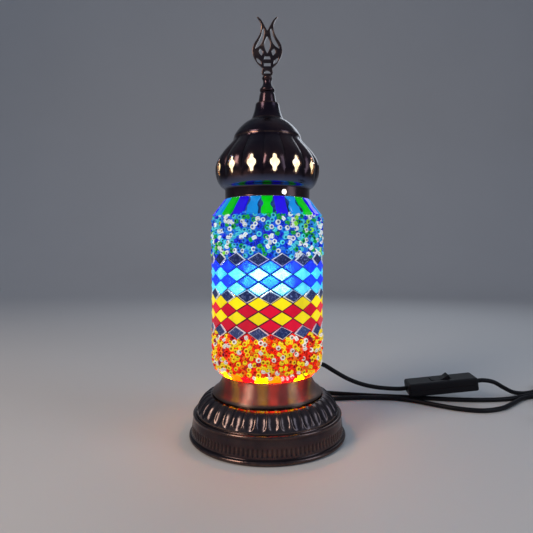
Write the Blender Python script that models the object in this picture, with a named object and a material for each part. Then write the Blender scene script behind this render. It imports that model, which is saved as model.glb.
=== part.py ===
"""Mosaic glass table lamp: bronze base and cap, mosaic jar, E14 lampholder, switched lead.

Lengths below are in millimetres, and MM turns them into metres. +Z is up, the front is -Y, and the
origin is the middle of the base's underside. Each object is one solid sub-part.
"""

import math

import bmesh
import bpy
from mathutils import Matrix, Vector

MM = 0.001
GAP = 0.3  # clearance between neighbouring solids

# Driving dimensions
BASE_RADIUS = 68.9  # reeded wall of the base, above its rolled rim
PETALS = 40  # gadroons on the base's shoulder
DECK_TOP = 37.0  # flat deck inside the shoulder, which the cup stands on
CUP_RIM = 56.0
CUP_RIM_RADIUS = 39.9
JAR_RADIUS = 46.5  # bare glass
JAR_FOOT_RADIUS = 38.4
MOSAIC_RADIUS = 50.0  # over tiles and beads
COLLAR_BOTTOM = 214.0
COLLAR_TOP = 224.0
COLLAR_RADIUS = 38.0
DOME_RADIUS = 46.9
DOME_TOP = 268.7
LOBES = 15  # lobes of the pierced dome, each with one window
WINDOW_HEIGHT = 240.0
UPPER_DOME_TOP = 289.7
SPIRE_STEP = 300.3
SPINDLE_TOP = 325.0
FINIAL_TOP = 377.0
FINIAL_THICKNESS = 2.6

TUBE_RADIUS = 4.9  # hollow threaded tube through deck, cup and lampholder
BULB_RADIUS = 22.5
BULB_CENTRE = 140.0
BULB_CAP_TOP = 98.0

CORD_DIAMETER = 4.8
EXIT_AZIMUTH = math.radians(55)  # from +X towards the back
EXIT_TILT = math.radians(25)  # upwards
EXIT_RADIUS = 59.5  # where the lead's axis leaves the shoulder
EXIT_HEIGHT = 32.5
RELIEF_LENGTH = 22.0

SWITCH_LENGTH = 75.0
SWITCH_WIDTH = 27.0
SWITCH_THICKNESS = 14.5
SWITCH_WALL = 2.0
SWITCH_LEFT = Vector((158.0, 97.5, 12.5))  # middle of the end nearer the lamp
SWITCH_RIGHT = Vector((232.3, 93.0, 21.6))
ROCKER_PIVOT = 3.9  # above the switch's middle plane
ROCKER_TILT = math.radians(12)

COIL_CENTRE = Vector((333.0, 60.0, 0.0))
COIL_RADIUS = 28.8  # middle of the turns
COIL_BOTTOM = 1.2  # the tie passes below it
COIL_TURNS_WIDE = 2
COIL_LAYERS = 2
PLUG_REAR = Vector((324.0, 10.5, 7.2))
PLUG_LENGTH = 36.0

ROUND = 36  # sides of the large turned parts


def clear_scene():
    for item in list(bpy.data.objects):
        bpy.data.objects.remove(item, do_unlink=True)


def material(name, colour, roughness, metallic=0.0, transmission=0.0):
    made = bpy.data.materials.new(name)
    made.use_nodes = True
    shader = made.node_tree.nodes["Principled BSDF"]
    shader.inputs["Base Color"].default_value = (*colour, 1.0)
    shader.inputs["Roughness"].default_value = roughness
    shader.inputs["Metallic"].default_value = metallic
    shader.inputs["Transmission Weight"].default_value = transmission
    made.diffuse_color = (*colour, 1.0)
    return made


def group(name, location=(0, 0, 0), rotation=None, parent=None):
    """An empty that holds the pieces of one moving body."""
    empty = bpy.data.objects.new(name, None)
    bpy.context.collection.objects.link(empty)
    empty.location = Vector(location) * MM
    if rotation is not None:
        empty.rotation_mode = "QUATERNION"
        empty.rotation_quaternion = rotation
    empty.parent = parent
    return empty


def finish_object(name, bm, look, parent, cutter=False):
    """Turns a mesh in millimetres into an object in metres."""
    bmesh.ops.remove_doubles(bm, verts=bm.verts, dist=1e-4)
    bmesh.ops.recalc_face_normals(bm, faces=bm.faces)
    bmesh.ops.scale(bm, vec=(MM, MM, MM), verts=bm.verts)
    mesh = bpy.data.meshes.new(name)
    bm.to_mesh(mesh)
    bm.free()
    mesh.shade_smooth()
    mesh.set_sharp_from_angle(angle=math.radians(35))
    made = bpy.data.objects.new(name, mesh)
    bpy.context.collection.objects.link(made)
    made.parent = parent
    if cutter:
        made.hide_render = True
        made.display_type = "WIRE"
    else:
        mesh.materials.append(look)
    return made


def spun(section, sides):
    """Turns a closed section of (radius, height) points about Z."""
    bm = bmesh.new()
    rim = [bm.verts.new((radius, 0.0, height)) for radius, height in section]
    edges = [bm.edges.new((a, b)) for a, b in zip(rim, rim[1:] + rim[:1])]
    bmesh.ops.spin(bm, geom=rim + edges, cent=(0, 0, 0), axis=(0, 0, 1), angle=2 * math.pi,
                   steps=sides, use_merge=True)
    bmesh.ops.remove_doubles(bm, verts=bm.verts, dist=1e-4)
    on_axis = [e for e in bm.edges if all(math.hypot(v.co.x, v.co.y) < 1e-4 for v in e.verts)]
    bmesh.ops.delete(bm, geom=on_axis, context="EDGES")
    return bm


def turned(name, section, look, parent, sides=ROUND, shape=None):
    bm = spun(section, sides)
    if shape is not None:
        for vert in bm.verts:
            shape(vert)
    return finish_object(name, bm, look, parent)


def along(bm, start, direction):
    """Lays a mesh made about +Z along a direction, from start."""
    turn = Vector((0, 0, 1)).rotation_difference(Vector(direction)).to_matrix().to_4x4()
    bmesh.ops.transform(bm, matrix=Matrix.Translation(start) @ turn, verts=bm.verts)


def prism(outline, depth, holes=()):
    """A flat plate in the XZ plane, of an outline with holes, depth thick and centred on Y = 0."""
    bm = bmesh.new()
    for loop in (outline, *holes):
        verts = [bm.verts.new((x, -depth / 2, z)) for x, z in loop]
        for a, b in zip(verts, verts[1:] + verts[:1]):
            bm.edges.new((a, b))
    bmesh.ops.triangle_fill(bm, use_beauty=True, edges=bm.edges[:])
    grown = bmesh.ops.extrude_face_region(bm, geom=bm.faces[:])["geom"]
    bmesh.ops.translate(bm, vec=(0, depth, 0), verts=[g for g in grown if isinstance(g, bmesh.types.BMVert)])
    return bm


def block(size, centre=(0, 0, 0), bevel=0.0):
    bm = bmesh.new()
    bmesh.ops.create_cube(bm, size=1.0)
    bmesh.ops.scale(bm, vec=size, verts=bm.verts)
    if bevel > 0:
        bmesh.ops.bevel(bm, geom=bm.edges[:] + bm.verts[:], offset=bevel, segments=2, profile=0.5,
                        affect="EDGES")
    bmesh.ops.translate(bm, vec=centre, verts=bm.verts)
    return bm


def rod(radius, length, start, direction, sides=16):
    bm = spun([(0, 0), (radius, 0), (radius, length), (0, length)], sides)
    along(bm, start, direction)
    return bm


def joined(parts):
    """Several cutter meshes as one."""
    whole = bmesh.new()
    for part in parts:
        mesh = bpy.data.meshes.new("joined")
        bmesh.ops.recalc_face_normals(part, faces=part.faces)
        part.to_mesh(mesh)
        part.free()
        whole.from_mesh(mesh)
        bpy.data.meshes.remove(mesh)
    return whole


def boolean(target, tool, operation="DIFFERENCE"):
    change = target.modifiers.new(operation.title(), "BOOLEAN")
    change.operation = operation
    change.solver = "EXACT"
    change.object = tool


def smooth_route(points, spacing):
    """Even points on a Catmull-Rom curve through the route's own points."""
    ends = [2 * points[0] - points[1], *points, 2 * points[-1] - points[-2]]
    fine = []
    steps = 24
    for a, b, c, d in zip(ends, ends[1:], ends[2:], ends[3:]):
        for step in range(steps):
            t = step / steps
            fine.append(0.5 * (2 * b + (c - a) * t + (2 * a - 5 * b + 4 * c - d) * t * t
                               + (3 * b - a - 3 * c + d) * t ** 3))
    fine.append(points[-1])
    run = [0.0]
    for a, b in zip(fine, fine[1:]):
        run.append(run[-1] + (b - a).length)
    count = max(2, round(run[-1] / spacing))
    even, at = [], 0
    for k in range(count + 1):
        goal = run[-1] * k / count
        while at < len(run) - 2 and run[at + 1] < goal:
            at += 1
        share = (goal - run[at]) / max(run[at + 1] - run[at], 1e-9)
        even.append(fine[at].lerp(fine[at + 1], min(max(share, 0.0), 1.0)))
    return even


def tube(name, points, diameter, look, parent, spacing=None):
    curve = bpy.data.curves.new(name, "CURVE")
    curve.dimensions = "3D"
    curve.bevel_depth = diameter / 2 * MM
    curve.bevel_resolution = 2
    curve.use_fill_caps = True
    curve.resolution_u = 1
    curve.render_resolution_u = 0
    even = smooth_route([Vector(p) for p in points], spacing or 2.4 * diameter)
    spline = curve.splines.new("POLY")
    spline.points.add(len(even) - 1)
    for knot, place in zip(spline.points, even):
        knot.co = (*(place * MM), 1.0)
    curve.materials.append(look)
    made = bpy.data.objects.new(name, curve)
    bpy.context.collection.objects.link(made)
    made.parent = parent
    return made


def arc(centre, radius, start, end, steps):
    """Points on a circular arc, angles in degrees from +r towards +z."""
    angles = [math.radians(start + (end - start) * k / steps) for k in range(steps + 1)]
    return [(centre[0] + radius * math.cos(a), centre[1] + radius * math.sin(a)) for a in angles]


# ---------------------------------------------------------------- base

def petal(vert):
    """Draws the grooves between the shoulder's gadroons in, most at mid-height."""
    radius = math.hypot(vert.co.x, vert.co.y)
    foot, head = 24.0, 38.6
    if radius < 50.0 or not foot < vert.co.z < head:
        return
    depth = 1.3 * math.sin(math.pi * (vert.co.z - foot) / (head - foot)) ** 0.5
    angle = math.atan2(vert.co.y, vert.co.x)
    pull = depth * (0.5 - 0.5 * math.cos(PETALS * angle))
    vert.co.x *= 1 - pull / radius
    vert.co.y *= 1 - pull / radius


def base(look, root):
    wall = [(66.6, 0.4), (69.6, 0.4), (71.3, 1.4), (71.4, 2.8), (70.4, 4.0), (BASE_RADIUS, 4.6),
            (BASE_RADIUS - 0.4, 12.0), (BASE_RADIUS - 1.5, 19.2)]
    bead = arc((66.1, 21.0), 1.7, -25, 115, 4)
    inside = [(63.0, 23.2), (63.0, 21.2), (65.4, 19.0), (66.9, 5.0)]
    turned("base_reeded_band", wall + bead + inside, look["bronze"], root, sides=48)

    outer = [(64.5, 23.5), (63.8, 26.0), (62.2, 29.0), (59.8, 32.6), (57.0, 35.6), (53.6, 38.0),
             (51.0, 38.7), (49.8, 38.1), (49.3, DECK_TOP)]
    deck = [(TUBE_RADIUS + GAP, DECK_TOP), (TUBE_RADIUS + GAP, DECK_TOP - 1.8), (50.4, DECK_TOP - 1.8)]
    inner = [(54.4, 34.6), (58.4, 30.6), (61.2, 25.6), (61.8, 23.5)]
    shoulder = turned("base_petal_shoulder", outer + deck + inner, look["bronze"], root,
                      sides=2 * PETALS, shape=petal)
    exit_place, exit_way = exit_axis()
    hole = finish_object("cutter_exit_hole", rod(4.3, 16.0, exit_place - 8.0 * exit_way, exit_way),
                         None, root, cutter=True)
    boolean(shoulder, hole)

    turned("base_bottom_plate", [(9.0, 1.8), (65.6, 1.8), (65.6, 2.8), (9.0, 2.8)], look["steel"], root)
    turned("felt_pad", [(0, 0), (65.0, 0), (65.0, 1.5), (0, 1.5)], look["felt"], root)


def cup(look, root):
    foot = [(45.6, DECK_TOP + GAP), (47.5, DECK_TOP + GAP), (47.5, 39.0)]
    flange = [(49.4, 39.1), (50.0, 40.2), (50.0, 41.2), (49.0, 42.2), (47.0, 43.4)]
    wall = [(45.0, 45.4), (42.9, 48.6), (41.2, 52.0), (CUP_RIM_RADIUS, CUP_RIM),
            (CUP_RIM_RADIUS - 1.1, CUP_RIM), (40.0, 52.0), (41.8, 48.2), (43.6, 45.2), (43.6, 42.0)]
    floor = [(TUBE_RADIUS + GAP, 42.0), (TUBE_RADIUS + GAP, 40.4), (45.6, 40.4)]
    turned("glass_cup", foot + flange + wall + floor, look["bronze"], root)


def nut(name, bottom, look, root):
    """A hexagon nut on the threaded tube."""
    bore = (TUBE_RADIUS + GAP) / math.cos(math.pi / 6)
    section = [(bore, bottom), (8.6, bottom), (8.6, bottom + 4.0), (bore, bottom + 4.0)]
    turned(name, section, look["steel"], root, sides=6)


def lampholder(look, root):
    turned("threaded_tube", [(3.6, 28.5), (TUBE_RADIUS, 28.5), (TUBE_RADIUS, 54.0), (3.6, 54.0)],
           look["steel"], root, sides=24)
    nut("deck_lock_nut", 30.9, look, root)
    nut("cup_lock_nut", 42.3, look, root)
    hole = TUBE_RADIUS + GAP
    turned("lampholder_base", [(hole, 46.6), (10.0, 46.6), (12.6, 49.5), (13.4, 62.0), (11.8, 62.0),
                               (11.2, 51.0), (9.0, 49.2), (hole, 49.2)], look["holder"], root, sides=24)
    turned("lampholder_body", [(13.6, 62.3), (14.6, 64.0), (14.6, 68.0), (13.8, 70.0), (13.4, 97.0),
                               (12.6, 98.5), (11.4, 98.5), (11.4, 65.0), (11.8, 62.3)],
           look["holder"], root, sides=24)
    turned("lampholder_insulator", [(0, 64.0), (11.0, 64.0), (11.0, 70.0), (8.6, 70.0), (8.6, 72.0),
                                    (0, 72.0)], look["ceramic"], root, sides=24)
    turned("lampholder_contact", [(0, 72.3), (3.2, 72.3), (2.4, 74.2), (0, 74.6)], look["brass"], root, sides=12)
    turned("lampholder_screw_shell", [(7.1, 76.0), (8.0, 76.0), (8.0, 97.5), (7.1, 97.5)],
           look["brass"], root, sides=24)


def bulb(look, body):
    turned("bulb_cap", [(0, 75.0), (2.3, 75.0), (2.8, 76.4), (5.4, 78.2), (6.6, 79.4), (6.6, 97.0),
                        (6.2, BULB_CAP_TOP), (0, BULB_CAP_TOP)], look["brass"], body, sides=24)
    neck = [(6.0, BULB_CAP_TOP + GAP), (6.6, 102.0), (8.6, 109.0)]
    ball = arc((0, BULB_CENTRE), BULB_RADIUS, -58, 90, 7)
    ball_inside = arc((0, BULB_CENTRE), BULB_RADIUS - 0.9, 90, -58, 7)
    ball[-1] = (0, BULB_CENTRE + BULB_RADIUS)
    ball_inside[0] = (0, BULB_CENTRE + BULB_RADIUS - 0.9)
    neck_inside = [(7.7, 109.4), (5.7, 102.3), (5.1, BULB_CAP_TOP + GAP)]
    turned("bulb_glass", neck + ball + ball_inside + neck_inside, look["bulb"], body, sides=20)


# ---------------------------------------------------------------- mosaic jar

def jar(look, body):
    outer = [(JAR_FOOT_RADIUS, 42.4), (JAR_FOOT_RADIUS, 56.6), (41.2, 58.6), (43.5, 62.2), (45.6, 66.5),
             (46.4, 71.0), (JAR_RADIUS, 75.0), (JAR_RADIUS, 193.0), (46.4, 196.1), (35.6, 211.8),
             (35.0, 213.5), (35.0, 221.5)]
    wall = 2.3
    inner = [(32.7, 221.5), (32.7, 212.6), (43.6, 196.0), (44.2, 193.0), (44.2, 75.0), (43.2, 67.5),
             (40.6, 62.0), (38.8, 58.8), (JAR_FOOT_RADIUS - wall, 56.6), (JAR_FOOT_RADIUS - wall, 42.4)]
    turned("glass_jar", outer + inner, look["glass"], body)

    skin = JAR_RADIUS + 0.35
    bands = {
        "mosaic_top_strips": [(45.4, 198.2), (49.75, 198.2), (38.4, 213.7), (35.6, 213.7), (36.1, 211.7)],
        "mosaic_upper_beads": [(skin, 166.3), (MOSAIC_RADIUS, 166.3), (MOSAIC_RADIUS, 195.0),
                               (49.75, 197.9), (45.65, 197.9), (skin, 196.2)],
        "mosaic_blue_diamonds": [(skin, 131.0), (MOSAIC_RADIUS, 131.0), (MOSAIC_RADIUS, 166.0), (skin, 166.0)],
        "mosaic_red_diamonds": [(skin, 97.0), (MOSAIC_RADIUS, 97.0), (MOSAIC_RADIUS, 130.7), (skin, 130.7)],
        "mosaic_lower_beads": [(44.1, 62.5), (47.2, 62.5), (49.2, 66.8), (49.9, 71.0), (MOSAIC_RADIUS, 75.0),
                               (MOSAIC_RADIUS, 96.7), (skin, 96.7), (skin, 75.0), (46.8, 71.0), (46.0, 66.5)],
        "mosaic_bottom_strips": [(41.8, 58.6), (43.6, 58.6), (44.9, 59.7), (46.9, 62.2), (43.95, 62.2)],
    }
    for name, section in bands.items():
        turned(name, section, look[name], body)


# ---------------------------------------------------------------- cap

def lobe(vert):
    """Draws the grooves between the dome's lobes in, most at its belly."""
    foot = COLLAR_TOP + GAP
    share = (vert.co.z - foot) / (DOME_TOP - foot)
    depth = 2.0 * max(math.sin(math.pi * min(max(share, 0.0), 1.0)), 0.0) ** 0.6
    angle = math.atan2(vert.co.y, vert.co.x)
    pull = depth * (1 - abs(math.cos(LOBES * (angle + math.pi / 2 - dome_turn()) / 2)))
    radius = math.hypot(vert.co.x, vert.co.y)
    vert.co.x *= 1 - pull / radius
    vert.co.y *= 1 - pull / radius


def dome_turn():
    """The front window stands a little right of the front."""
    return math.radians(7.5)


def window(half_width, half_height, depth):
    """A pointed quatrefoil: round ends above and below, and a point on each side."""
    end = 0.42 * half_width
    top = arc((0, half_height - end), end, 0, 180, 4)
    sides_left = [(-0.55 * half_width, 0.42 * half_height), (-half_width, 0.05 * half_height),
                  (-0.55 * half_width, -0.36 * half_height)]
    bottom = arc((0, -half_height + end), end, 180, 360, 4)
    sides_right = [(-x, z) for x, z in reversed(sides_left)]
    return prism(top + sides_left + bottom + sides_right, depth)


def cap(look, body):
    wall = 1.2
    collar = turned("cap_collar", [(COLLAR_RADIUS - wall, COLLAR_BOTTOM), (COLLAR_RADIUS, COLLAR_BOTTOM),
                                   (COLLAR_RADIUS, COLLAR_TOP), (COLLAR_RADIUS - wall, COLLAR_TOP)],
                    look["bronze"], body)
    holes = []
    for k in range(3):
        angle = math.radians(-68 + 120 * k)
        way = Vector((math.cos(angle), math.sin(angle), 0))
        holes.append(rod(2.3, 8.0, 33.5 * way + Vector((0, 0, 217.4)), way, sides=12))
    boolean(collar, finish_object("cutter_collar_holes", joined(holes), None, body, cutter=True))

    outer = [(38.4, COLLAR_TOP + GAP), (40.2, 227.0), (44.2, 231.5), (46.5, 237.0), (DOME_RADIUS, 242.0),
             (45.4, 248.0), (42.6, 253.0), (38.7, 258.0), (34.2, 262.9), (31.2, 266.4), (30.4, DOME_TOP)]
    inner = [(28.9, DOME_TOP), (32.2, 263.0), (39.2, 255.2), (43.8, 248.0), (45.3, 242.0), (44.6, 236.0),
             (40.6, 229.8), (36.8, COLLAR_TOP + GAP)]
    dome = turned("cap_pierced_dome", outer + inner, look["bronze"], body, sides=4 * LOBES, shape=lobe)
    windows = []
    for k in range(LOBES):
        bm = window(4.5, 7.3, 12.0)
        bmesh.ops.translate(bm, vec=(0, -DOME_RADIUS + 0.5, WINDOW_HEIGHT), verts=bm.verts)
        turn = Matrix.Rotation(dome_turn() + 2 * math.pi * k / LOBES, 4, "Z")
        bmesh.ops.transform(bm, matrix=turn, verts=bm.verts)
        windows.append(bm)
    boolean(dome, finish_object("cutter_dome_windows", joined(windows), None, body, cutter=True))

    turned("cap_upper_dome", [(30.0, 269.0), (29.7, 271.0), (28.4, 273.4), (25.9, 276.8), (22.1, 280.7),
                              (18.5, 283.5), (15.6, 285.6), (14.0, 287.6), (13.2, UPPER_DOME_TOP),
                              (10.8, UPPER_DOME_TOP), (13.6, 284.6), (20.8, 279.4), (25.2, 274.6),
                              (28.4, 269.0)], look["bronze"], body, sides=32)
    turned("cap_spire_cone", [(0, 290.0), (13.0, 290.0), (11.3, 295.0), (10.2, 299.2), (9.8, SPIRE_STEP),
                              (0, SPIRE_STEP)], look["bronze"], body, sides=24)
    spindle = [(0, 300.6), (7.7, 300.6), (7.5, 303.0), (6.8, 308.0), (5.9, 310.4), (6.6, 311.4), (6.8, 312.6),
               (6.3, 313.8), (5.1, 315.4), (3.9, 317.6), (3.7, 320.6), (4.5, 322.4), (4.5, 323.6),
               (3.8, 324.6), (2.6, SPINDLE_TOP), (0, SPINDLE_TOP)]
    turned("cap_spindle", spindle, look["bronze"], body, sides=20)


def almond(x, z, half_width, half_height, lean=0.0, steps=5):
    """A pointed oval hole, leaning by an angle from the vertical."""
    right = [(half_width * math.sin(math.pi * k / steps), -half_height + 2 * half_height * k / steps)
             for k in range(steps + 1)]
    left = [(-px, pz) for px, pz in reversed(right[1:-1])]
    c, s = math.cos(lean), math.sin(lean)
    return [(x + c * px + s * pz, z - s * px + c * pz) for px, pz in right + left]


def finial(look, body):
    """A flat cast tulip on a pierced ring, which screws into the spindle."""
    half = [(2.2, SPINDLE_TOP + GAP), (4.7, 326.6), (4.9, 329.0), (4.0, 331.4), (5.6, 333.2), (8.6, 336.0),
            (11.2, 339.8), (12.8, 343.4), (13.3, 347.0), (12.9, 350.6), (11.4, 354.2), (9.0, 357.8),
            (7.0, 361.4), (5.9, 364.8), (5.5, 368.0), (5.9, 371.0), (7.1, 373.8), (9.2, FINIAL_TOP),
            (5.4, 374.2), (2.9, 370.0), (1.0, 366.4)]
    outline = half + [(0, 365.0)] + [(-x, z) for x, z in reversed(half)]
    slot = [(3.4, 365.6), (2.7, 363.4), (3.4, 358.7), (4.8, 353.6), (7.6, 350.4), (10.6, 348.6),
            (9.6, 351.8), (7.4, 356.0), (5.2, 360.5), (4.5, 364.0)]
    holes = [almond(0, 351.0, 2.8, 7.4), slot, [(-x, z) for x, z in reversed(slot)],
             [(-3.0, 338.4), (3.0, 338.4), (2.5, 341.2), (-2.5, 341.2)],
             [(-2.9, 332.6), (2.9, 332.6), (3.1, 335.4), (-3.1, 335.4)],
             [(-2.2, 326.9), (2.2, 326.9), (2.6, 328.4), (0, 329.8), (-2.6, 328.4)]]
    for side in (-1, 1):
        holes.append(almond(side * 5.6, 345.2, 1.6, 3.4, lean=side * 0.15, steps=4))
        holes.append(almond(side * 7.7, 338.2, 1.3, 3.8, lean=side * 0.62, steps=4))
    finish_object("finial_tulip", prism(outline, FINIAL_THICKNESS, holes), look["bronze"], body)


# ---------------------------------------------------------------- lead and switch

def exit_axis():
    """Where the lead leaves the shoulder, and which way it points."""
    way = Vector((math.cos(EXIT_AZIMUTH) * math.cos(EXIT_TILT),
                  math.sin(EXIT_AZIMUTH) * math.cos(EXIT_TILT), math.sin(EXIT_TILT)))
    place = Vector((EXIT_RADIUS * math.cos(EXIT_AZIMUTH), EXIT_RADIUS * math.sin(EXIT_AZIMUTH), EXIT_HEIGHT))
    return place, way


def strain_relief(look, root):
    place, way = exit_axis()
    bm = spun([(0, -6.0), (4.0, -6.0), (4.0, 2.4), (5.4, 2.8), (5.4, 4.4), (4.3, 5.0), (3.9, 10.0),
               (3.5, 16.0), (3.1, RELIEF_LENGTH), (0, RELIEF_LENGTH)], 16)
    along(bm, place, way)
    finish_object("strain_relief", bm, look["black"], root)
    inner_end = place - (6.0 + GAP) * way
    tube("inner_lead", [inner_end, inner_end - 8 * way, (17, 24, 22.5), (7, 10, 18), (1.2, 1.8, 19.5),
                        (0, 0, 26), (0, 0, 36), (0, 0, 48), (0, 0, 60)],
         CORD_DIAMETER, look["black"], root)


def switch_axes():
    """The switch's frame: x along it, z up out of its rocker."""
    middle = (SWITCH_LEFT + SWITCH_RIGHT) / 2
    along_x = (SWITCH_RIGHT - SWITCH_LEFT).normalized()
    across = Vector((0, 0, 1)).cross(along_x).normalized()
    up = along_x.cross(across)
    return middle, Matrix((along_x, across, up)).transposed().to_quaternion()


def half_shell(name, side, look, frame):
    """One half of the switch's case, an open tray: side is 1 for the upper and -1 for the lower."""
    half = SWITCH_THICKNESS / 2
    bm = block((SWITCH_LENGTH, SWITCH_WIDTH, SWITCH_THICKNESS), bevel=2.2)
    far = Vector((0, 0, side * GAP / 2))
    cut = bmesh.ops.bisect_plane(bm, geom=bm.verts[:] + bm.edges[:] + bm.faces[:], plane_co=far,
                                 plane_no=(0, 0, -side), clear_outer=True)["geom_cut"]
    bmesh.ops.contextual_create(bm, geom=[g for g in cut if isinstance(g, bmesh.types.BMEdge)])
    shell = finish_object(name, bm, look, frame)
    cavity_half = half - SWITCH_WALL
    room = block((SWITCH_LENGTH - 2 * SWITCH_WALL, SWITCH_WIDTH - 2 * SWITCH_WALL, cavity_half + 1.0),
                 (0, 0, side * (cavity_half - 1.0) / 2))
    boolean(shell, finish_object("cutter_" + name, room, None, frame, cutter=True))
    return shell


def switch(look, root):
    middle, turn = switch_axes()
    frame = group("switch_frame", middle, turn, root)
    upper = half_shell("switch_upper_shell", 1, look["black"], frame)
    opening = block((22.4, 12.0, 8.0), (0, 0, 7.0))
    boolean(upper, finish_object("cutter_rocker_opening", opening, None, frame, cutter=True))
    lower = half_shell("switch_lower_shell", -1, look["black"], frame)
    holes = []
    for k, x in enumerate((-29.0, 29.0)):
        holes.append(rod(1.6, 6.0, (x, 0, -9.0), (0, 0, 1), sides=12))
        screw = spun([(0, -7.0), (1.25, -7.0), (1.25, -1.5), (0, -1.5)], 12)
        bmesh.ops.translate(screw, vec=(x, 0, 0), verts=screw.verts)
        finish_object(f"switch_screw_{k + 1}", screw, look["steel"], frame)
    boolean(lower, finish_object("cutter_screw_holes", joined(holes), None, frame, cutter=True))
    for k, x in enumerate((-20.0, 20.0)):
        finish_object(f"switch_terminal_{k + 1}", block((8.0, 10.0, 4.4), (x, 0, -2.7)), look["brass"], frame)

    rocker = group("rocker_pivot", (0, 0, ROCKER_PIVOT), Matrix.Rotation(-ROCKER_TILT, 3, "Y").to_quaternion(),
                   frame)
    paddle = [(-9.6, 6.1), (-9.6, 1.0), (-5.0, -2.6), (5.0, -2.6), (9.6, 1.0), (9.6, 6.1), (5.0, 4.4),
              (0, 3.7), (-5.0, 4.4)]
    bm = prism(paddle, 11.2)
    body = finish_object("switch_rocker", bm, look["black"], rocker)
    pin = finish_object("cutter_rocker_pins", rod(1.0, 14.8, (0, -7.4, 0), (0, 1, 0), sides=12), None,
                        rocker, cutter=True)
    boolean(body, pin, "UNION")


def lead_route():
    """The lead from its strain relief to the switch, in mid-air at first and then down to the switch."""
    place, way = exit_axis()
    start = place + (RELIEF_LENGTH + GAP) * way
    heading = (SWITCH_RIGHT - SWITCH_LEFT).normalized()
    end = SWITCH_LEFT - GAP * heading
    return [start, start + 5.0 * way, (53.6, 75.2, 45.5), (60.4, 81.2, 43.5), (67.2, 85.6, 39.2),
            (74.5, 88.9, 34.0), (89.8, 93.0, 24.6), (105.4, 95.2, 18.0), (120.5, 96.4, 14.2),
            (136.0, 97.4, 12.2), end - 8.0 * heading, end]


def ring_points(x, y, radius, angles, height):
    """Points on a level circle, angles in degrees."""
    turns = [math.radians(a) for a in angles]
    return [(x + radius * math.cos(a), y + radius * math.sin(a), height) for a in turns]


def run_route():
    """From the switch out to the right, round a loop, back behind the base, and out to the coil."""
    heading = (SWITCH_RIGHT - SWITCH_LEFT).normalized()
    start = SWITCH_RIGHT + 2 * GAP * heading
    floor = CORD_DIAMETER / 2 + 0.05
    out = [start, start + 9.0 * heading, (254.0, 93.6, 20.4), (269.0, 98.4, 12.0), (283.0, 105.0, 5.2)]
    loop = [(297.0, 110.0, floor), (308.5, 114.2, floor), (317.5, 120.6, floor), (323.8, 129.4, floor)]
    loop += ring_points(346.0, 128.5, 21.0, range(150, -106, -30), floor)
    loop += [(324.0, 107.6, floor)]
    back = [(305.0, 105.0, floor), (271.0, 90.5, floor), (240.0, 86.0, floor), (209.0, 87.5, floor),
            (178.0, 92.6, floor), (150.0, 97.6, floor), (120.0, 102.0, floor), (90.0, 107.5, floor),
            (62.0, 114.5, floor)]
    back += ring_points(32.0, 101.5, 21.0, range(75, 286, 30), floor)
    back += [(62.0, 88.5, floor), (90.0, 93.0, floor)]
    forth = [(120.0, 94.0, floor), (145.0, 91.0, floor), (163.0, 82.6, floor), (181.0, 69.6, floor),
             (200.0, 57.5, floor), (223.0, 51.5, floor), (246.0, 58.5, floor), (264.0, 72.5, floor),
             (284.0, 90.0, floor), (300.0, 98.2, floor), (314.0, 99.4, floor)]
    beside = COIL_RADIUS + CORD_DIAMETER * (COIL_TURNS_WIDE + 1) / 2 + 2 * GAP
    return out + loop + back + forth + [COIL_CENTRE + Vector((-6.5, beside, floor + 0.4))]


def coil(look, root):
    half_width = CORD_DIAMETER * COIL_TURNS_WIDE / 2
    top = COIL_BOTTOM + CORD_DIAMETER * COIL_LAYERS
    corner = 1.6
    section = [(COIL_RADIUS - half_width + corner, COIL_BOTTOM), (COIL_RADIUS + half_width - corner, COIL_BOTTOM),
               (COIL_RADIUS + half_width, COIL_BOTTOM + corner), (COIL_RADIUS + half_width, top - corner),
               (COIL_RADIUS + half_width - corner, top), (COIL_RADIUS - half_width + corner, top),
               (COIL_RADIUS - half_width, top - corner), (COIL_RADIUS - half_width, COIL_BOTTOM + corner)]
    bm = spun(section, 32)
    bmesh.ops.translate(bm, vec=COIL_CENTRE, verts=bm.verts)
    finish_object("cord_coil", bm, look["black"], root)

    band = 0.8
    reach = half_width + GAP
    x0, x1 = COIL_RADIUS - reach - 0.7, COIL_RADIUS + reach  # the inner side is a chord of the ring
    z0, z1 = COIL_BOTTOM - GAP, top + GAP
    outline = [(x0 - band, z0 - band), (x1 + band, z0 - band), (x1 + band, z1 + band), (x0 - band, z1 + band)]
    bm = prism(outline, 9.0, [[(x0, z0), (x1, z0), (x1, z1), (x0, z1)]])
    bmesh.ops.rotate(bm, cent=(0, 0, 0), matrix=Matrix.Rotation(math.radians(205), 3, "Z"), verts=bm.verts)
    bmesh.ops.translate(bm, vec=COIL_CENTRE, verts=bm.verts)
    finish_object("cord_tie", bm, look["tie"], root)
    return top


def tail_route():
    """From the coil's upper layer to the plug's rear."""
    leave = math.radians(-38)
    reach = COIL_RADIUS + CORD_DIAMETER * COIL_TURNS_WIDE / 2 + CORD_DIAMETER / 2 + GAP
    start = COIL_CENTRE + Vector((reach * math.cos(leave), reach * math.sin(leave), 8.4))
    return [start, (353.2, 27.0, 8.2), (346.4, 18.6, 7.8), (339.2, 13.0, 7.4), (330.6, 10.6, 7.2),
            PLUG_REAR + Vector((3.0, 0, 0)), PLUG_REAR + Vector((GAP, 0, 0))]


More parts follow.
